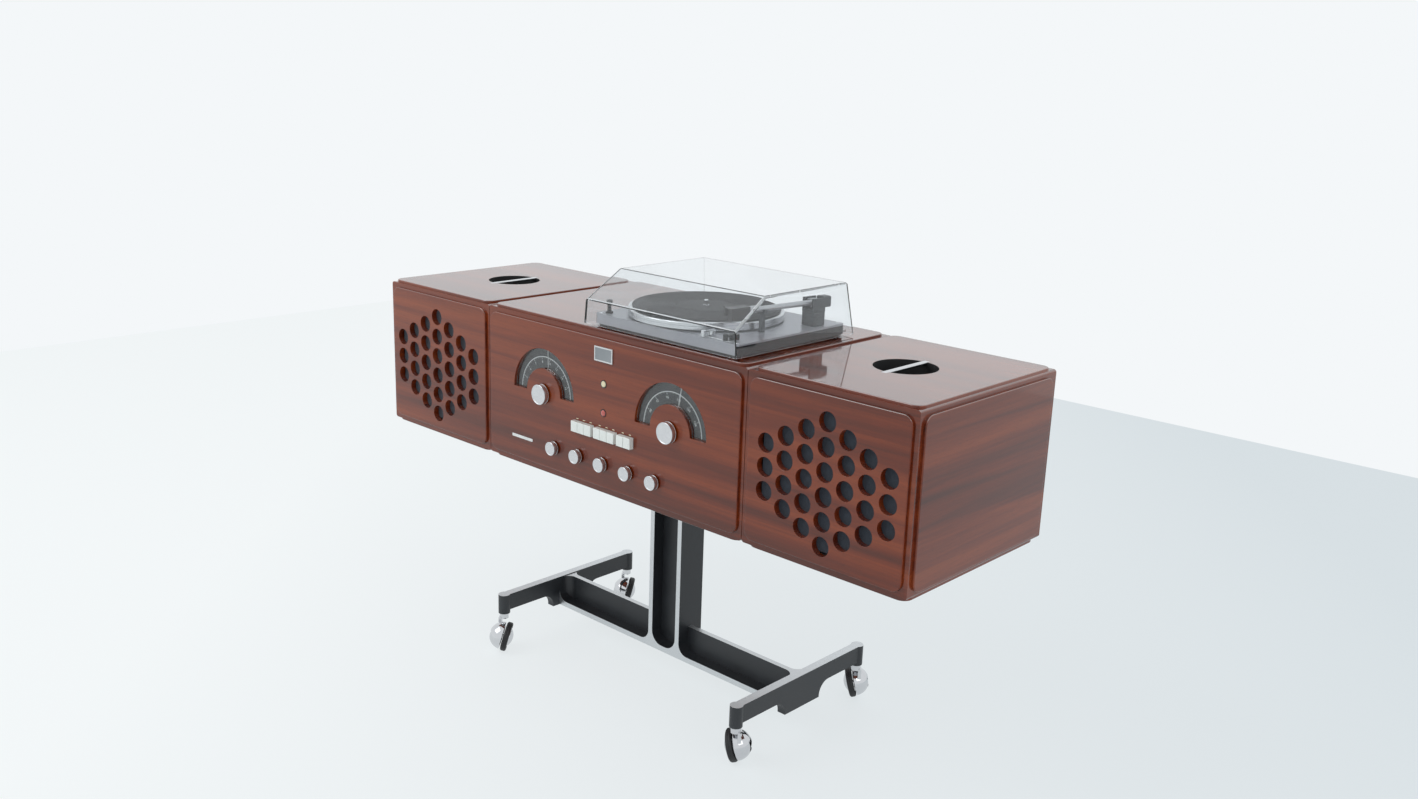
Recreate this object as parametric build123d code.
from build123d import *
import math
import os

# Radio-phonograph console on a castored pedestal. Millimetres, +X to the right seen from
# the front, +Y to the back, +Z up. The origin is on the floor under the console's centre.

# overall sizes
console_width = 1220.0
cabinet_depth = 365.0
cabinet_height = 278.0
cabinet_top_z = 665.0
centre_width = 610.0
cabinet_gap = 1.0

# cabinet joinery
cabinet_wall = 12.0
panel_step = 4.5
edge_margin = 13.0
seam_margin = 7.5
top_margin = 7.5
panel_corner_radius = 16.0
panel_edge_radius = 1.6
carcass_edge_radius = 5.0
front_board = 6.0
back_board = 6.0
back_cover_proud = 12.0
board_fit = 0.2

# loudspeaker boxes
sound_hole_diameter = 30.0
sound_hole_pitch_x = 36.5
sound_hole_pitch_z = 37.0
sound_hole_drop = 4.5
sound_hole_columns = (3, 4, 5, 6, 5, 4, 3)
cloth_margin = 14.0
cloth_thickness = 1.5
driver_radius = 95.0
driver_depth = 80.0
hand_hole_diameter = 98.0
hand_hole_depth = 40.0
hand_cup_wall = 3.0
carry_bar_width = 10.0
carry_bar_thickness = 4.0
carry_bar_seat = 8.0
carry_bar_play = 0.2

# radio dials, at equal distances each side of the middle
dial_spacing = 304.0
dial_centre_z = 530.0
dial_outer_radius = 78.5
dial_inner_radius = 44.0
dial_plate_setback = 14.5
dial_plate_thickness = 1.5
dial_plate_overlap = 5.0
dial_window_setback = 5.0
dial_window_thickness = 2.0
dial_window_play = 0.3
pointer_setback = 12.2
pointer_thickness = 0.8
pointer_width = 1.6
pointer_end_gap = 5.0
pointer_sleeve_radius = 6.0
left_pointer_angle = 1.0
right_pointer_angle = -10.0

# knobs
tuning_knob_radius = 17.7
small_knob_radius = 12.0
knob_reach = 12.0
knob_gap = 2.0
knob_shaft_radius = 3.0
shaft_play = 0.05
shaft_depth = 46.0
small_knob_count = 5
small_knob_pitch = 60.7
small_knob_z = 440.5

# push keys
key_groups = (3, 3, 2)
key_pitch = 16.4
key_group_gap = 6.0
key_height = 18.6
key_reach = 8.5
key_play = 0.3
key_inner_length = 26.0
key_centre_z = 492.5

# lamps and plates on the front
lamp_radius = 5.5
lamp_proud = 2.5
upper_lamp_z = 577.0
lower_lamp_z = 528.0
badge_width = 43.0
badge_height = 24.5
badge_centre_z = 626.0
badge_thickness = 1.5
strip_width = 55.0
strip_height = 5.0
strip_centre_x = -208.0
strip_centre_z = 439.5
strip_thickness = 1.0

# radio chassis inside
chassis_end_gap = 35.0
chassis_depth = 210.0
chassis_height = 55.0
chassis_sheet = 2.0
transformer_size = (80.0, 70.0, 65.0)

# record deck
deck_left_x = -46.0
deck_right_x = 266.0
deck_front_y = -160.0
deck_back_y = 100.0
deck_foot_height = 4.0
deck_foot_radius = 8.0
plinth_height = 14.0
plinth_wall = 12.0
plinth_corner_radius = 6.0
deck_plate_thickness = 3.0
deck_well_margin = 20.0
platter_centre_x = 88.0
platter_centre_y = -38.0
platter_radius = 127.0
platter_height = 12.0
platter_floor = 4.0
platter_rim_wall = 9.0
platter_gap = 2.0
platter_hub_radius = 16.0
mat_radius = 121.0
mat_thickness = 3.0
spindle_radius = 3.6
spindle_root_radius = 5.0
spindle_above_mat = 9.0
spindle_below_deck = 12.0
spindle_flange_radius = 14.0
idler_radius = 19.0
idler_thickness = 5.0
idler_play = 0.3
idler_direction = 125.0
motor_radius = 32.0
motor_height = 40.0
pulley_radius = 5.0

# tonearm
arm_pivot_x = 241.0
arm_pivot_y = 48.0
arm_axis_z = 723.0
arm_rest_angle = 7.7
arm_reach = 172.0
arm_tube_radius = 4.5
arm_pillar_width = 28.0
arm_pillar_corner = 4.0
arm_yoke_gap = 18.0
arm_yoke_wall = 4.0
arm_yoke_height = 16.0
arm_yoke_length = 26.0
arm_pin_radius = 1.5
arm_pin_play = 0.05
arm_side_play = 0.6
counterweight_width = 18.0
counterweight_length = 16.0
head_length = 38.0
head_width = 17.0
head_height = 9.0
stylus_above_mat = 1.0
arm_rest_reach = 110.0
arm_rest_play = 0.6

# deck levers
selector_x = 236.0
selector_y = -134.0
starter_x = 196.0
starter_y = -140.0
lever_radius = 7.0
lever_length = 18.0
lever_height = 8.0

# dust cover
cover_left_x = -56.0
cover_right_x = 279.0
cover_front_y = -176.0
cover_back_y = 112.0
cover_bottom_gap = 4.0
cover_front_height = 41.0
cover_height = 85.0
cover_slope_run = 70.0
cover_side_draft = 8.0
cover_back_draft = 14.0
cover_wall = 3.0
hinge_axis_behind = 7.0
hinge_axis_rise = 7.0
hinge_pin_radius = 1.5
hinge_pin_play = 0.05
hinge_lug_radius = 4.0
hinge_lug_width = 16.0
hinge_ear_width = 5.0
hinge_side_gap = 0.4
hinge_inset = 50.0

# pedestal casting
post_width = 77.0
pedestal_depth = 58.0
flange_thickness = 9.5
web_thickness = 10.0
post_channel_floor_z = 60.0
post_cap = 12.0
channel_corner_radius = 24.0
beam_floor_z = 49.5
beam_flange = 10.0
beam_web_top_z = 105.5
beam_corner_radius = 20.0
foot_bar_width = 16.0
foot_corner_radius = 18.0
foot_top_z = 107.0
foot_under_z = 76.0
foot_boss_radius = 11.0
foot_boss_under_z = 70.0
foot_lobe_half = 45.0
foot_lobe_radius = 24.0
caster_spacing_y = 318.0

# casters
caster_tilt = 15.0
tyre_radius = 27.5
tyre_width = 11.0
tyre_edge_radius = 3.5
hub_radius = 18.0
hub_dome = 7.0
hood_radius = 26.0
hood_wall = 2.5
wheel_side_gap = 1.2
caster_trail = 15.0
axle_radius = 2.5
axle_play = 0.05
stem_radius = 5.0
stem_play = 0.05
stem_collar_radius = 8.0
stem_collar_height = 9.0
stem_in_boss = 26.0
socket_wall = 3.0
socket_lip = 1.5
caster_angles = {"front_left": 42.0, "front_right": -146.0, "back_left": 42.0, "back_right": -142.0}

# places worked out from the sizes above
speaker_width = (console_width - centre_width) / 2
cabinet_bottom_z = cabinet_top_z - cabinet_height
cabinet_mid_z = cabinet_top_z - cabinet_height / 2
front_y = -cabinet_depth / 2
back_y = cabinet_depth / 2
board_front_y = front_y + panel_step
board_back_y = board_front_y + front_board
speaker_centre_x = console_width / 2 - (speaker_width - cabinet_gap / 2) / 2
dial_x = dial_spacing / 2
deck_floor_z = cabinet_top_z + deck_foot_height
deck_top_z = deck_floor_z + plinth_height + deck_plate_thickness
platter_top_z = deck_top_z + platter_gap + platter_height
mat_top_z = platter_top_z + mat_thickness
caster_y = caster_spacing_y / 2
foot_centre_x = centre_width / 2 - foot_boss_radius
chassis_length = centre_width - 2 * chassis_end_gap

nodes = {}


def block(x0, x1, y0, y1, z0, z1):
    """A box given by its limits."""
    centre = Pos((x0 + x1) / 2, (y0 + y1) / 2, (z0 + z1) / 2)
    return centre * Box(x1 - x0, y1 - y0, z1 - z0)


def disc(x, y, z0, z1, radius):
    """A cylinder along Z from z0 to z1."""
    return Pos(x, y, (z0 + z1) / 2) * Cylinder(radius, z1 - z0)


def rod_y(x, z, y0, y1, radius):
    """A cylinder along Y from y0 to y1."""
    return Pos(x, (y0 + y1) / 2, z) * Rot(90, 0, 0) * Cylinder(radius, y1 - y0)


def rod_x(y, z, x0, x1, radius):
    """A cylinder along X from x0 to x1."""
    return Pos((x0 + x1) / 2, y, z) * Rot(0, 90, 0) * Cylinder(radius, x1 - x0)


def panel_z(x0, x1, y0, y1, z0, z1, radius):
    """A plate lying flat with rounded corners."""
    plane = Plane.XY.offset(z0)
    outline = Pos((x0 + x1) / 2, (y0 + y1) / 2) * RectangleRounded(x1 - x0, y1 - y0, radius)
    return extrude(plane * outline, z1 - z0)


def panel_y(x0, x1, z0, z1, y0, y1, radius):
    """A plate facing the front, with rounded corners, from y0 back to y1."""
    plane = Plane((0, y1, 0), x_dir=(1, 0, 0), z_dir=(0, -1, 0))
    outline = Pos((x0 + x1) / 2, (z0 + z1) / 2) * RectangleRounded(x1 - x0, z1 - z0, radius)
    return extrude(plane * outline, y1 - y0)


def panel_x(y0, y1, z0, z1, x0, x1, radius):
    """A plate facing the side, with rounded corners, from x0 to x1."""
    plane = Plane((x0, 0, 0), x_dir=(0, 1, 0), z_dir=(1, 0, 0))
    outline = Pos((y0 + y1) / 2, (z0 + z1) / 2) * RectangleRounded(y1 - y0, z1 - z0, radius)
    return extrude(plane * outline, x1 - x0)


def half_ring(x, z, outer, inner, y0, y1, rise=0.0):
    """The part of a ring around a line along Y that is above its centre plus a rise."""
    plane = Plane((x, y1, z), x_dir=(1, 0, 0), z_dir=(0, -1, 0))
    outer_half = math.sqrt(outer ** 2 - rise ** 2)
    inner_half = math.sqrt(inner ** 2 - rise ** 2)
    edges = [ThreePointArc((outer_half, rise), (0, outer), (-outer_half, rise)),
             Line((-outer_half, rise), (-inner_half, rise)),
             ThreePointArc((-inner_half, rise), (0, inner), (inner_half, rise)),
             Line((inner_half, rise), (outer_half, rise))]
    return extrude(plane * make_face(edges), y1 - y0)


def side_margins(x0, x1):
    """Panel margins at the left and right side: narrow at a seam, wide at a free edge."""
    left = edge_margin if x0 <= -console_width / 2 else seam_margin
    right = edge_margin if x1 >= console_width / 2 else seam_margin
    return left, right


def cabinet_shell(x0, x1):
    """A wooden cabinet, open at the front and back for its boards, with raised panels."""
    left_step = panel_step if x0 <= -console_width / 2 else 0.0
    right_step = panel_step if x1 >= console_width / 2 else 0.0
    cx0 = x0 + left_step
    cx1 = x1 - right_step
    cz0 = cabinet_bottom_z + panel_step
    cz1 = cabinet_top_z - panel_step
    carcass = block(cx0, cx1, board_front_y, back_y, cz0, cz1)
    carcass = fillet(carcass.edges().filter_by(Axis.Y), carcass_edge_radius)
    inner = block(cx0 + cabinet_wall, cx1 - cabinet_wall, board_front_y - 1, back_y + 1,
                  cz0 + cabinet_wall, cz1 - cabinet_wall)
    left, right = side_margins(x0, x1)
    left = min(left, top_margin)
    right = min(right, top_margin)
    lid = panel_z(x0 + left, x1 - right, front_y + top_margin, back_y - top_margin,
                  cz1 - 1, cabinet_top_z, panel_corner_radius)
    lid = fillet(lid.faces().sort_by(Axis.Z)[-1].edges(), panel_edge_radius)
    under = panel_z(x0 + left, x1 - right, front_y + top_margin, back_y - top_margin,
                    cabinet_bottom_z, cz0 + 1, panel_corner_radius)
    under = fillet(under.faces().sort_by(Axis.Z)[0].edges(), panel_edge_radius)
    shell = carcass - inner + lid + under
    if left_step:
        side = panel_x(front_y + edge_margin, back_y - edge_margin, cabinet_bottom_z + edge_margin,
                       cabinet_top_z - edge_margin, x0, cx0 + 1, panel_corner_radius)
        shell = shell + fillet(side.faces().sort_by(Axis.X)[0].edges(), panel_edge_radius)
    if right_step:
        side = panel_x(front_y + edge_margin, back_y - edge_margin, cabinet_bottom_z + edge_margin,
                       cabinet_top_z - edge_margin, cx1 - 1, x1, panel_corner_radius)
        shell = shell + fillet(side.faces().sort_by(Axis.X)[-1].edges(), panel_edge_radius)
    return shell


def opening_limits(x0, x1):
    """The inside of a cabinet's front opening as x and z limits."""
    left_step = panel_step if x0 <= -console_width / 2 else 0.0
    right_step = panel_step if x1 >= console_width / 2 else 0.0
    return (x0 + left_step + cabinet_wall, x1 - right_step - cabinet_wall,
            cabinet_bottom_z + panel_step + cabinet_wall, cabinet_top_z - panel_step - cabinet_wall)


def front_panel(x0, x1):
    """A front board that plugs the cabinet's opening behind its raised face."""
    left, right = side_margins(x0, x1)
    face = panel_y(x0 + left, x1 - right, cabinet_bottom_z + edge_margin,
                   cabinet_top_z - edge_margin, front_y, board_front_y, panel_corner_radius)
    face = fillet(face.faces().sort_by(Axis.Y)[0].edges(), panel_edge_radius)
    ox0, ox1, oz0, oz1 = opening_limits(x0, x1)
    plug = block(ox0 + board_fit, ox1 - board_fit, board_front_y, board_back_y,
                 oz0 + board_fit, oz1 - board_fit)
    return face + plug


def back_cover(x0, x1):
    """A shallow pressed pan screwed over the back opening."""
    ox0, ox1, oz0, oz1 = opening_limits(x0, x1)
    rim = block(ox0 + board_fit, ox1 - board_fit, back_y - back_board, back_y,
                oz0 + board_fit, oz1 - board_fit)
    hump = panel_y(ox0 + 25, ox1 - 25, oz0 + 25, oz1 - 25, back_y, back_y + back_cover_proud,
                   panel_corner_radius)
    hump = fillet(hump.faces().sort_by(Axis.Y)[-1].edges(), 4)
    hollow = block(ox0 + 30, ox1 - 30, back_y - back_board - 1, back_y + back_cover_proud - 3,
                   oz0 + 30, oz1 - 30)
    cover = rim + hump - hollow
    slots = []
    slot_count = 9
    for i in range(slot_count):
        z = (oz0 + oz1) / 2 + (i - (slot_count - 1) / 2) * 16
        slots.append(block(ox0 + 50, ox1 - 50, back_y, back_y + back_cover_proud + 1, z - 2, z + 2))
    return cover - Compound(slots)


def sound_hole_places(centre_x):
    """Centres of the round holes in a loudspeaker front."""
    places = []
    for column, count in enumerate(sound_hole_columns):
        x = centre_x + (column - (len(sound_hole_columns) - 1) / 2) * sound_hole_pitch_x
        for row in range(count):
            z = cabinet_mid_z - sound_hole_drop + (row - (count - 1) / 2) * sound_hole_pitch_z
            places.append((x, z))
    return places


def make_cabinets():
    """The three cabinets with their front panels and back covers."""
    half = centre_width / 2
    edge = console_width / 2
    gap = cabinet_gap / 2
    spans = {"left": (-edge, -half - gap), "centre": (-half + gap, half - gap), "right": (half + gap, edge)}
    covers = []
    for side, (x0, x1) in spans.items():
        shell = cabinet_shell(x0, x1)
        front = front_panel(x0, x1)
        covers.append(back_cover(x0, x1))
        if side == "centre":
            nodes["centre_cabinet"] = cut_deck_well(shell)
            nodes["centre_front_panel"] = cut_radio_openings(front)
        else:
            centre = (x0 + x1) / 2
            holes = [rod_y(x, z, front_y - 1, board_back_y + 1, sound_hole_diameter / 2)
                     for x, z in sound_hole_places(centre)]
            nodes[side + "_front_panel"] = front - Compound(holes)
            nodes[side + "_speaker_cabinet"] = add_hand_hole(shell, centre)
    nodes["back_covers"] = Compound(covers)


def add_hand_hole(shell, x):
    """A round cup sunk in the top, with seats for the carrying bar's ends."""
    radius = hand_hole_diameter / 2
    floor_z = cabinet_top_z - hand_hole_depth
    shell = shell + disc(x, 0, floor_z - hand_cup_wall, cabinet_top_z - 2, radius + hand_cup_wall)
    shell = shell - disc(x, 0, floor_z, cabinet_top_z + 1, radius)
    half_length = radius + carry_bar_seat + carry_bar_play
    half_width = carry_bar_width / 2 + carry_bar_play
    return shell - block(x - half_width, x + half_width, -half_length, half_length,
                         cabinet_top_z - carry_bar_thickness - carry_bar_play, cabinet_top_z + 1)


def cut_deck_well(shell):
    """The opening in the lid that the deck's motor and bearing hang through."""
    return shell - panel_z(deck_left_x + deck_well_margin, deck_right_x - deck_well_margin,
                           deck_front_y + deck_well_margin, deck_back_y - deck_well_margin,
                           cabinet_top_z - panel_step - cabinet_wall - 1, cabinet_top_z + 1,
                           plinth_corner_radius)


def key_places():
    """Centres of the push keys along X."""
    total = sum(key_groups) * key_pitch + (len(key_groups) - 1) * key_group_gap
    x = -total / 2 + key_pitch / 2
    places = []
    for count in key_groups:
        for _ in range(count):
            places.append(x)
            x += key_pitch
        x += key_group_gap
    return places


def small_knob_places():
    """Centres of the small knobs along X."""
    return [(i - (small_knob_count - 1) / 2) * small_knob_pitch for i in range(small_knob_count)]


def cut_radio_openings(front):
    """Dial openings, key slots, shaft holes and lamp holes in the centre front."""
    y0 = front_y - 1
    y1 = board_back_y + 1
    for x in (-dial_x, dial_x):
        front = front - half_ring(x, dial_centre_z, dial_outer_radius, dial_inner_radius, y0, y1)
        front = front - rod_y(x, dial_centre_z, y0, y1, knob_shaft_radius + shaft_play)
    for x in small_knob_places():
        front = front - rod_y(x, small_knob_z, y0, y1, knob_shaft_radius + shaft_play)
    for x in key_places():
        front = front - block(x - key_pitch / 2, x + key_pitch / 2, y0, y1,
                              key_centre_z - key_height / 2 - key_play,
                              key_centre_z + key_height / 2 + key_play)
    for z in (upper_lamp_z, lower_lamp_z):
        front = front - rod_y(0, z, y0, y1, lamp_radius)
    return front


def make_speaker_parts():
    """Grille cloths, drivers and carrying bars of both loudspeaker boxes."""
    cloths = []
    drivers = []
    bars = []
    inner_half = speaker_width / 2 - cabinet_wall - panel_step - cloth_margin
    inner_rise = cabinet_height / 2 - cabinet_wall - panel_step - cloth_margin
    cloth_back = board_back_y + cloth_thickness
    for side in (-1, 1):
        x = side * speaker_centre_x
        cloths.append(block(x - inner_half, x + inner_half, board_back_y, cloth_back,
                            cabinet_mid_z - inner_rise, cabinet_mid_z + inner_rise))
        z = cabinet_mid_z - sound_hole_drop
        rim = rod_y(x, z, cloth_back, cloth_back + 6, driver_radius)
        cone_plane = Plane((x, cloth_back + 6, z), x_dir=(1, 0, 0), z_dir=(0, 1, 0))
        basket = loft([cone_plane * Circle(driver_radius - 8),
                       cone_plane.offset(driver_depth * 0.5) * Circle(driver_radius * 0.45)])
        magnet = rod_y(x, z, cloth_back + 6 + driver_depth * 0.5 - 1, cloth_back + driver_depth,
                       driver_radius * 0.5)
        recess = rod_y(x, z, cloth_back - 1, cloth_back + 4, driver_radius - 12)
        drivers.append(rim + basket + magnet - recess)
        half_length = hand_hole_diameter / 2 + carry_bar_seat
        bars.append(block(x - carry_bar_width / 2, x + carry_bar_width / 2, -half_length, half_length,
                          cabinet_top_z - carry_bar_thickness, cabinet_top_z))
    nodes["grille_cloths"] = Compound(cloths)
    nodes["loudspeaker_drivers"] = Compound(drivers)
    nodes["carrying_bars"] = Compound(bars)


def make_dials():
    """Dial plates, clear windows, pointers and the large tuning knobs."""
    plates = []
    windows = []
    plate_y = front_y + dial_plate_setback
    window_y = front_y + dial_window_setback
    pointer_y = front_y + pointer_setback
    for name, x, angle in (("left", -dial_x, left_pointer_angle), ("right", dial_x, right_pointer_angle)):
        outer = dial_outer_radius + dial_plate_overlap
        plate = rod_y(x, dial_centre_z, plate_y, plate_y + dial_plate_thickness, outer)
        plate = plate - block(x - outer, x + outer, plate_y - 1, plate_y + dial_plate_thickness + 1,
                              dial_centre_z - outer, dial_centre_z - 2 * dial_plate_overlap)
        plates.append(plate - rod_y(x, dial_centre_z, plate_y - 1, plate_y + dial_plate_thickness + 1,
                                    pointer_sleeve_radius + dial_window_play))
        windows.append(half_ring(x, dial_centre_z, dial_outer_radius - dial_window_play,
                                 dial_inner_radius + dial_window_play, window_y,
                                 window_y + dial_window_thickness, dial_window_play))
        sleeve = rod_y(x, dial_centre_z, pointer_y, plate_y + 8, pointer_sleeve_radius)
        tip = dial_outer_radius - pointer_end_gap
        needle = block(-pointer_width / 2, pointer_width / 2, pointer_y, pointer_y + pointer_thickness, 0, tip)
        needle = Pos(x, 0, dial_centre_z) * Rot(0, -angle, 0) * needle
        bore = rod_y(x, dial_centre_z, pointer_y - 1, plate_y + 9, knob_shaft_radius + shaft_play)
        nodes[name + "_pointer"] = sleeve + needle - bore
        nodes[name + "_tuning_knob"] = knob(x, dial_centre_z, tuning_knob_radius)
    nodes["dial_plates"] = Compound(plates)
    nodes["dial_windows"] = Compound(windows)


def knob(x, z, radius):
    """A turned metal knob standing off the panel on its shaft."""
    face_y = front_y - knob_reach
    body = rod_y(x, z, face_y, front_y - knob_gap, radius)
    body = chamfer(body.faces().sort_by(Axis.Y)[0].edges(), 1.0)
    return body + rod_y(x, z, face_y + 1, front_y + shaft_depth, knob_shaft_radius)


def make_controls():
    """Small knobs, push keys, lamps and the bare plates on the radio front."""
    for i, x in enumerate(small_knob_places()):
        nodes["control_knob_" + str(i + 1)] = knob(x, small_knob_z, small_knob_radius)
    half = key_pitch / 2 - key_play
    for i, x in enumerate(key_places()):
        key = block(x - half, x + half, front_y - key_reach, board_back_y + key_inner_length,
                    key_centre_z - key_height / 2, key_centre_z + key_height / 2)
        key = fillet(key.faces().sort_by(Axis.Y)[0].edges(), 1.2)
        nodes["push_key_" + str(i + 1)] = key
    lamps = []
    for z in (upper_lamp_z, lower_lamp_z):
        lens = rod_y(0, z, front_y - lamp_proud, board_back_y + 8, lamp_radius - board_fit)
        lamps.append(fillet(lens.faces().sort_by(Axis.Y)[0].edges(), 2.0))
    nodes["indicator_lamps"] = Compound(lamps)
    badge = panel_y(-badge_width / 2, badge_width / 2, badge_centre_z - badge_height / 2,
                    badge_centre_z + badge_height / 2, front_y - badge_thickness, front_y, 1.0)
    strip = panel_y(strip_centre_x - strip_width / 2, strip_centre_x + strip_width / 2,
                    strip_centre_z - strip_height / 2, strip_centre_z + strip_height / 2,
                    front_y - strip_thickness, front_y, 1.0)
    nodes["trim_plates"] = Compound([badge, strip])


def make_radio_inside():
    """The folded chassis and the mains transformer that stands on it."""
    floor_z = cabinet_bottom_z + panel_step + cabinet_wall
    chassis_front = board_back_y + key_inner_length + 30
    x = chassis_length / 2
    tray = block(-x, x, chassis_front, chassis_front + chassis_depth, floor_z, floor_z + chassis_height)
    inside = block(-x + chassis_sheet, x - chassis_sheet, chassis_front + chassis_sheet,
                   chassis_front + chassis_depth - chassis_sheet, floor_z - 1,
                   floor_z + chassis_height - chassis_sheet)
    nodes["radio_chassis"] = tray - inside
    width, depth, height = transformer_size
    tx = -chassis_length / 2 + width
    ty = chassis_front + chassis_depth / 2
    core_z = floor_z + chassis_height
    core = block(tx - width / 2, tx + width / 2, ty - depth / 2, ty + depth / 2, core_z, core_z + height)
    coil = block(tx - width / 3, tx + width / 3, ty - depth / 2 - 10, ty + depth / 2 + 10,
                 core_z + height * 0.2, core_z + height * 0.8)
    nodes["power_transformer"] = core + coil


def polar(distance, angle):
    """A place at a distance from the platter's centre, angle from +X in degrees."""
    turn = math.radians(angle)
    return platter_centre_x + distance * math.cos(turn), platter_centre_y + distance * math.sin(turn)


def make_deck():
    """Plinth, deck plate, platter, mat, spindle and the drive under the platter."""
    plate_z = deck_top_z - deck_plate_thickness
    plinth = panel_z(deck_left_x, deck_right_x, deck_front_y, deck_back_y, deck_floor_z, plate_z,
                     plinth_corner_radius)
    plinth = plinth - block(deck_left_x + plinth_wall, deck_right_x - plinth_wall,
                            deck_front_y + plinth_wall, deck_back_y - plinth_wall,
                            deck_floor_z - 1, plate_z + 1)
    for x in (deck_left_x + deck_foot_radius + 3, deck_right_x - deck_foot_radius - 3):
        for y in (deck_front_y + deck_foot_radius + 3, deck_back_y - deck_foot_radius - 3):
            plinth = plinth + disc(x, y, cabinet_top_z, deck_floor_z + 1, deck_foot_radius)
    nodes["deck_plinth"] = plinth
    cx = platter_centre_x
    cy = platter_centre_y
    idler_x, idler_y = polar(platter_radius - platter_rim_wall - idler_radius - idler_play, idler_direction)
    pulley_distance = platter_radius - platter_rim_wall - 2 * idler_radius - pulley_radius - 3 * idler_play
    pulley_x, pulley_y = polar(pulley_distance, idler_direction)
    plate = panel_z(deck_left_x, deck_right_x, deck_front_y, deck_back_y, plate_z, deck_top_z,
                    plinth_corner_radius)
    plate = plate - disc(cx, cy, plate_z - 1, deck_top_z + 1, spindle_root_radius + shaft_play)
    plate = plate - disc(idler_x, idler_y, plate_z - 1, deck_top_z + 1, axle_radius + shaft_play)
    plate = plate - disc(pulley_x, pulley_y, plate_z - 1, deck_top_z + 1, pulley_radius + 3)
    for x, y in ((selector_x, selector_y), (starter_x, starter_y), (arm_pivot_x, arm_pivot_y)):
        plate = plate - disc(x, y, plate_z - 1, deck_top_z + 1, knob_shaft_radius + shaft_play)
    nodes["deck_plate"] = plate
    bottom = deck_top_z + platter_gap
    platter = disc(cx, cy, bottom, platter_top_z, platter_radius)
    platter = fillet(platter.faces().sort_by(Axis.Z)[-1].edges(), 2.0)
    cavity = disc(cx, cy, bottom - 1, platter_top_z - platter_floor, platter_radius - platter_rim_wall)
    cavity = cavity - disc(cx, cy, bottom - 1, platter_top_z, platter_hub_radius)
    nodes["platter"] = platter - cavity - disc(cx, cy, bottom - 1, platter_top_z + 1,
                                             spindle_root_radius + shaft_play)
    nodes["platter_mat"] = disc(cx, cy, platter_top_z, mat_top_z, mat_radius) - disc(
        cx, cy, platter_top_z - 1, mat_top_z + 1, spindle_root_radius + shaft_play)
    spindle = disc(cx, cy, mat_top_z - 1, mat_top_z + spindle_above_mat, spindle_radius)
    spindle = fillet(spindle.faces().sort_by(Axis.Z)[-1].edges(), 1.5)
    spindle = spindle + disc(cx, cy, plate_z - spindle_below_deck, mat_top_z, spindle_root_radius)
    nodes["record_spindle"] = spindle + disc(cx, cy, plate_z - 4, plate_z, spindle_flange_radius)
    idler = disc(idler_x, idler_y, bottom + 1, bottom + 1 + idler_thickness, idler_radius)
    nodes["idler_wheel"] = idler + disc(idler_x, idler_y, plate_z - 3, bottom + 1, axle_radius)
    shaft_top = bottom + 1 + idler_thickness
    motor = disc(pulley_x, pulley_y, plate_z - 4 - motor_height, plate_z - 4, motor_radius)
    lugs = block(pulley_x - motor_radius - 6, pulley_x + motor_radius + 6, pulley_y - 6, pulley_y + 6,
                 plate_z - 4, plate_z)
    motor = motor + lugs
    nodes["deck_motor"] = motor - disc(pulley_x, pulley_y, plate_z - 20, plate_z + 1, axle_radius + shaft_play)
    pulley = disc(pulley_x, pulley_y, plate_z - 18, deck_top_z + 1, axle_radius)
    nodes["motor_pulley"] = pulley + disc(pulley_x, pulley_y, deck_top_z + 1, shaft_top, pulley_radius)


def arm_place():
    """The frame of the tonearm: origin at its pivot, -Y along the arm towards the head."""
    return Pos(arm_pivot_x, arm_pivot_y, arm_axis_z) * Rot(0, 0, -arm_rest_angle)


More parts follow.
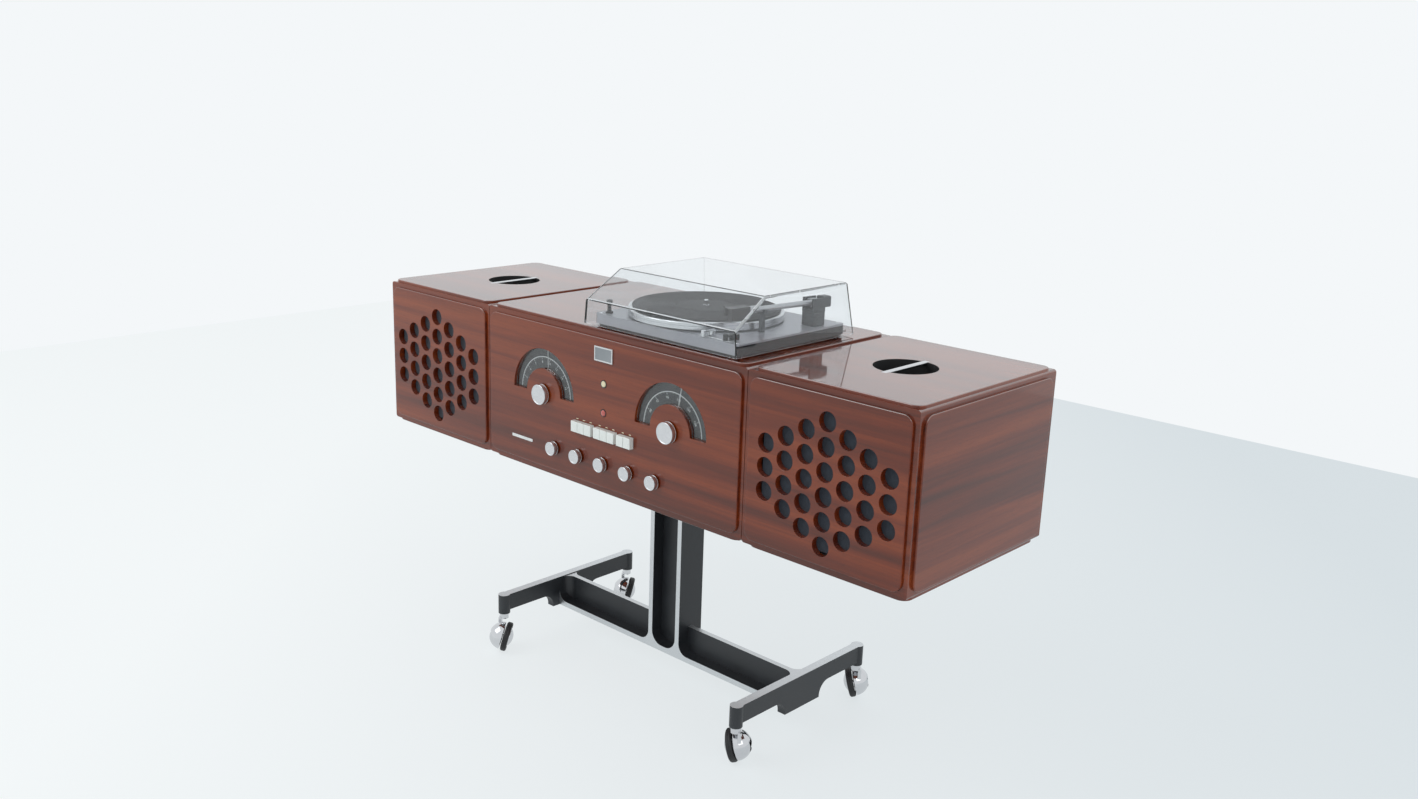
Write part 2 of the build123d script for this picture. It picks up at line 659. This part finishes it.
def make_tonearm():
    """Pillar, swinging yoke, arm with counterweight, headshell and arm rest."""
    place = arm_place()
    yoke_floor = arm_axis_z - arm_yoke_height / 2 - arm_yoke_wall - 2
    side = arm_pillar_width / 2
    pillar = panel_z(arm_pivot_x - side, arm_pivot_x + side, arm_pivot_y - side, arm_pivot_y + side,
                     deck_top_z, yoke_floor - board_fit, arm_pillar_corner)
    stud = disc(arm_pivot_x, arm_pivot_y, deck_top_z - 12, deck_top_z + 1, knob_shaft_radius)
    socket = disc(arm_pivot_x, arm_pivot_y, yoke_floor - 14, yoke_floor + 1, knob_shaft_radius + shaft_play)
    nodes["tonearm_pillar"] = pillar + stud - socket
    half = arm_yoke_gap / 2
    wall = arm_yoke_wall
    low = yoke_floor - arm_axis_z
    high = arm_yoke_height / 2
    length = arm_yoke_length / 2
    yoke = block(-half - wall, half + wall, -length, length, low, low + wall)
    for inner, outer in ((-half, -half - wall), (half, half + wall)):
        yoke = yoke + block(min(inner, outer), max(inner, outer), -length, length, low, high)
    yoke = yoke + rod_x(0, 0, -half - 1, half + 1, arm_pin_radius)
    yoke = yoke + disc(0, 0, low - 12, low + 1, knob_shaft_radius)
    nodes["tonearm_yoke"] = place * yoke
    weight_start = length + 1
    tube = rod_y(0, 0, -arm_reach + head_length - 8, weight_start + 1, arm_tube_radius)
    block_half = half - arm_side_play
    tube = tube + block(-block_half, block_half, -7, 7, -6, 6)
    weight_half = counterweight_width / 2
    weight = panel_y(-weight_half, weight_half, -weight_half, weight_half, weight_start,
                     weight_start + counterweight_length, 3.0)
    weight = fillet(weight.faces().sort_by(Axis.Y)[-1].edges(), 1.5)
    arm = tube + weight - rod_x(0, 0, -half, half, arm_pin_radius + arm_pin_play)
    nodes["tonearm"] = place * arm
    head_top = arm_tube_radius + 1
    end_y = -arm_reach - 6
    start_y = end_y + head_length
    shell = block(-head_width / 2, head_width / 2, end_y, start_y, head_top - head_height - 4, head_top)
    shell = shell - block(-head_width / 2 + 2, head_width / 2 - 2, end_y - 1, start_y - 2,
                          head_top - head_height - 5, head_top - 2)
    shell = shell - rod_y(0, 0, start_y - 8, start_y + 1, arm_tube_radius + shaft_play)
    body_low = mat_top_z + stylus_above_mat + 4 - arm_axis_z
    cartridge = block(-head_width / 2 + 3, head_width / 2 - 3, end_y + 5, start_y - 8, body_low, head_top - 1)
    stylus = Pos(0, -arm_reach, body_low - 2 + 0.5) * Cone(0.5, 1.5, 4)
    shell = shell + cartridge + stylus
    lift = block(-head_width / 2 - 12, -head_width / 2 + 1, end_y + 8, end_y + 12, head_top - 3, head_top - 1)
    nodes["headshell"] = place * (shell + lift)
    rest_place = place * Pos(0, -arm_rest_reach, 0)
    post = block(-4, 4, -3, 3, deck_top_z - arm_axis_z, -arm_tube_radius - 3)
    groove = arm_tube_radius + arm_rest_play
    cradle = block(-9, 9, -3, 3, -arm_tube_radius - 4, -1) - rod_y(0, 0, -4, 4, groove)
    cradle = cradle - block(-10, 0, -4, 4, -groove, 2)
    nodes["arm_rest"] = rest_place * (post + cradle)


def lever(x, y):
    """A small deck lever on a shaft through the plate."""
    base = deck_top_z + board_fit
    body = disc(x, y, base, base + lever_height, lever_radius)
    arm = block(x - 3, x + 3, y - lever_length, y, base + lever_height - 3, base + lever_height)
    grip = disc(x, y - lever_length, base + 1, base + lever_height + 2, 4)
    shaft = disc(x, y, deck_top_z - 10, base + 1, knob_shaft_radius)
    return body + arm + grip + shaft


def make_levers():
    """Speed selector and start lever."""
    nodes["speed_selector"] = lever(selector_x, selector_y)
    nodes["start_lever"] = lever(starter_x, starter_y)


def cover_block(inset, z0, z1, slope_shift):
    """The dust cover's outer or inner form: drafted sides, sloped front, drafted back."""
    y0 = cover_front_y + inset
    y1 = cover_back_y - inset
    full = z1 - z0
    front_rise = cover_front_height - slope_shift
    profile = Plane.YZ * make_face(Polyline(
        (y0, z0), (y0, z0 + front_rise), (cover_front_y + cover_slope_run + slope_shift, z1),
        (y1 - cover_back_draft, z1), (y1, z0), (y0, z0)))
    body = extrude(profile, (cover_right_x - cover_left_x) / 2, both=True)
    body = Pos((cover_left_x + cover_right_x) / 2, 0, 0) * body
    lean = math.degrees(math.atan(cover_side_draft / full))
    for side, x in ((-1, cover_left_x + inset), (1, cover_right_x - inset)):
        cutter = Pos(x, (y0 + y1) / 2, z0) * Rot(0, -side * lean, 0) * Pos(side * 60, 0, full / 2) * Box(
            120, y1 - y0 + 60, full * 2)
        body = body - cutter
    return body


def make_cover():
    """The clear dust cover and its hinges."""
    low = cabinet_top_z + cover_bottom_gap
    high = low + cover_height
    outer = cover_block(0.0, low, high, 0.0)
    long_edges = outer.edges().filter_by(lambda e: e.length > 60 and e.center().Z > low + 5)
    outer = fillet(long_edges, 4)
    inner = cover_block(cover_wall, low - 1, high - cover_wall, cover_wall * 0.5)
    cover = outer - inner
    axis_y = cover_back_y + hinge_axis_behind
    axis_z = cabinet_top_z + hinge_axis_rise
    hinges = []
    for x in (cover_left_x + hinge_inset, cover_right_x - hinge_inset):
        half = hinge_lug_width / 2
        lug = rod_x(axis_y, axis_z, x - half, x + half, hinge_lug_radius)
        lug = lug + block(x - half, x + half, cover_back_y - cover_wall - 1, axis_y, axis_z - 2, axis_z + 3)
        lug = lug - rod_x(axis_y, axis_z, x - half - 1, x + half + 1, hinge_pin_radius + hinge_pin_play)
        cover = cover + (lug - inner)
        ears = None
        for side in (-1, 1):
            x0 = x + side * (half + hinge_side_gap)
            x1 = x0 + side * hinge_ear_width
            ear = rod_x(axis_y, axis_z, min(x0, x1), max(x0, x1), hinge_lug_radius)
            ear = ear + block(min(x0, x1), max(x0, x1), axis_y - hinge_lug_radius, axis_y + hinge_lug_radius,
                              cabinet_top_z, axis_z)
            ears = ear if ears is None else ears + ear
        reach = half + hinge_side_gap + hinge_ear_width
        base = block(x - reach, x + reach, axis_y + hinge_lug_radius + 1, axis_y + hinge_lug_radius + 14,
                     cabinet_top_z, cabinet_top_z + 2)
        for side in (-1, 1):
            x0 = x + side * (half + hinge_side_gap)
            x1 = x0 + side * hinge_ear_width
            base = base + block(min(x0, x1), max(x0, x1), axis_y, axis_y + hinge_lug_radius + 2,
                                cabinet_top_z, cabinet_top_z + 2)
        pin = rod_x(axis_y, axis_z, x - reach, x + reach, hinge_pin_radius)
        hinges.append(ears + base + pin)
    nodes["dust_cover"] = cover
    nodes["cover_hinges"] = Compound(hinges)


def foot(x):
    """One foot of the casting: a bar along Y with end bosses and a deeper middle."""
    half = caster_y
    lobe = foot_lobe_half
    radius = foot_lobe_radius
    low = beam_floor_z
    arc = radius * math.sin(math.radians(45))
    right_mid = (lobe + radius - arc, foot_under_z - radius + arc)
    profile = Polyline((-half, foot_top_z), (half, foot_top_z), (half, foot_under_z),
                       (lobe + radius, foot_under_z)).edges()
    profile = profile + [ThreePointArc((lobe + radius, foot_under_z), right_mid, (lobe, foot_under_z - radius))]
    profile = profile + Polyline((lobe, foot_under_z - radius), (lobe, low), (-lobe, low),
                                 (-lobe, foot_under_z - radius)).edges()
    left_mid = (-right_mid[0], right_mid[1])
    profile = profile + [ThreePointArc((-lobe, foot_under_z - radius), left_mid, (-lobe - radius, foot_under_z))]
    profile = profile + Polyline((-lobe - radius, foot_under_z), (-half, foot_under_z),
                                 (-half, foot_top_z)).edges()
    face = Plane.YZ * make_face(profile)
    bar = Pos(x, 0, 0) * extrude(face, foot_bar_width / 2, both=True)
    for y in (-half, half):
        bar = bar + disc(x, y, foot_boss_under_z, foot_top_z, foot_boss_radius)
    return bar


def pocket(x0, x1, z0, z1, y0, y1, radius):
    """A pocket beside the web, rounded at its two lower corners."""
    body = block(x0, x1, y0, y1, z0, z1)
    low = body.edges().filter_by(Axis.Y).sort_by(Axis.Z)[:2]
    return fillet(low, radius)


def web_corner(end_x, side, depth):
    """The rounded metal in the corner where the beam's web meets a foot."""
    radius = foot_corner_radius
    x0, x1 = sorted((side * (end_x + 1), side * (end_x - radius)))
    y0, y1 = sorted((depth * (web_thickness / 2 - 1), depth * (web_thickness / 2 + radius)))
    corner = block(x0, x1, y0, y1, beam_floor_z + 1, beam_web_top_z)
    return corner - disc(side * (end_x - radius), depth * (web_thickness / 2 + radius),
                         beam_floor_z, beam_web_top_z + 1, radius)


def make_pedestal():
    """The painted casting: post, beam and feet in one piece."""
    half_post = post_width / 2
    half_depth = pedestal_depth / 2
    half_web = web_thickness / 2
    end_x = foot_centre_x - foot_bar_width / 2
    body = block(-end_x, end_x, -half_depth, half_depth, beam_floor_z, beam_web_top_z)
    body = body + block(-half_post, half_post, -half_depth, half_depth, beam_floor_z, cabinet_bottom_z)
    over = 40.0
    inner = half_post - flange_thickness
    for y0, y1 in ((-half_depth - 1, -half_web), (half_web, half_depth + 1)):
        for side in (-1, 1):
            x0, x1 = sorted((side * half_post, side * end_x))
            body = body - pocket(x0, x1, beam_floor_z + beam_flange, beam_web_top_z + over, y0, y1,
                                 beam_corner_radius)
        channel = block(-inner, inner, y0, y1, post_channel_floor_z, cabinet_bottom_z - post_cap)
        channel = fillet(channel.edges().filter_by(Axis.Y).sort_by(Axis.Z)[:2], channel_corner_radius)
        body = body - channel
    feet = foot(-foot_centre_x) + foot(foot_centre_x)
    body = body + feet
    for side in (-1, 1):
        for depth in (-1, 1):
            body = body + web_corner(end_x, side, depth)
    for x in (-foot_centre_x, foot_centre_x):
        for y in (-caster_y, caster_y):
            body = body - disc(x, y, foot_boss_under_z - 1, foot_boss_under_z + stem_in_boss + 2,
                               stem_radius + socket_wall)
    nodes["pedestal"] = body


def caster_hub_height():
    """Height of the wheel's centre when its leaning tyre touches the floor."""
    lean = math.radians(caster_tilt)
    outer = wheel_side_gap + tyre_width
    return ((tyre_radius - tyre_edge_radius) * math.cos(lean) + (outer - tyre_edge_radius) * math.sin(lean)
            + tyre_edge_radius)


def make_caster(name, x, y, angle):
    """One caster: hood with stem and axle, and a wheel with its tyre."""
    start = wheel_side_gap
    centre = Pos(x, y, 0) * Rot(0, 0, angle)
    lean = centre * Pos(0, -caster_trail, caster_hub_height()) * Rot(0, caster_tilt, 0)
    ball = Sphere(hood_radius) - Sphere(hood_radius - hood_wall)
    ball = ball - block(-wheel_side_gap, 60, -60, 60, -60, 60)
    ball = ball - block(-60, -7, -9, 9, -12, 6)
    boss = Rot(0, 90, 0) * Cylinder(6, 10)
    hood = lean * (ball + Pos(-wheel_side_gap - 5, 0, 0) * boss)
    web = Rot(0, 90, 0) * (Pos(0, 0, -wheel_side_gap - 4) * Cylinder(hood_radius - 1, 3))
    hood = hood + lean * web
    axle_tip = start + tyre_width - 1.5
    axle = rod_x(0, 0, -5, axle_tip, axle_radius)
    hood = hood + lean * axle
    top = foot_boss_under_z - socket_lip - board_fit
    collar = disc(0, 0, top - stem_collar_height, top, stem_collar_radius)
    neck_low = caster_hub_height() + hood_radius * 0.55
    neck = block(-10, -wheel_side_gap - 3.2, -7, 7, neck_low, top - stem_collar_height + 2)
    stem = disc(0, 0, top - 1, foot_boss_under_z + stem_in_boss, stem_radius)
    hood = hood + centre * (collar + neck + stem)
    nodes["caster_hood_" + name] = hood
    end = start + tyre_width
    edge = tyre_edge_radius
    turn = edge * (1 - math.sqrt(0.5))
    bore = axle_radius + axle_play
    bore_end = end - 1
    dome_radius = (hub_radius ** 2 + hub_dome ** 2) / (2 * hub_dome)
    dome_drop = dome_radius - math.sqrt(dome_radius ** 2 - (hub_radius / 2) ** 2)
    dome_mid = (end + hub_dome - dome_drop, hub_radius / 2)
    outline = [Line((start, bore), (start, tyre_radius - edge)),
               ThreePointArc((start, tyre_radius - edge), (start + turn, tyre_radius - turn),
                             (start + edge, tyre_radius)),
               Line((start + edge, tyre_radius), (end - edge, tyre_radius)),
               ThreePointArc((end - edge, tyre_radius), (end - turn, tyre_radius - turn),
                             (end, tyre_radius - edge)),
               Line((end, tyre_radius - edge), (end, hub_radius)),
               ThreePointArc((end, hub_radius), dome_mid, (end + hub_dome, 0)),
               Line((end + hub_dome, 0), (bore_end, 0)),
               Line((bore_end, 0), (bore_end, bore)),
               Line((bore_end, bore), (start, bore))]
    wheel = revolve(make_face(outline), Axis.X)
    nodes["caster_wheel_" + name] = lean * wheel
    socket = disc(x, y, foot_boss_under_z, foot_boss_under_z + stem_in_boss + 2, stem_radius + socket_wall)
    socket = socket + disc(x, y, foot_boss_under_z - socket_lip, foot_boss_under_z, foot_boss_radius - 1)
    return socket - disc(x, y, foot_boss_under_z - socket_lip - 1, foot_boss_under_z + stem_in_boss + 0.2,
                         stem_radius + stem_play)


def make_casters():
    """All four casters and their sockets."""
    sockets = []
    for name, angle in caster_angles.items():
        depth, side = name.split("_")
        x = foot_centre_x * (1 if side == "right" else -1)
        y = caster_y * (1 if depth == "back" else -1)
        sockets.append(make_caster(name, x, y, angle))
    nodes["caster_sockets"] = Compound(sockets)


def main():
    """Build every piece and write one file for each."""
    make_pedestal()
    make_casters()
    make_cabinets()
    make_speaker_parts()
    make_dials()
    make_controls()
    make_radio_inside()
    make_deck()
    make_tonearm()
    make_levers()
    make_cover()
    os.makedirs("parts", exist_ok=True)
    for name, shape in nodes.items():
        export_step(shape, "parts/" + name + ".step")
    print(len(nodes), "nodes")


main()
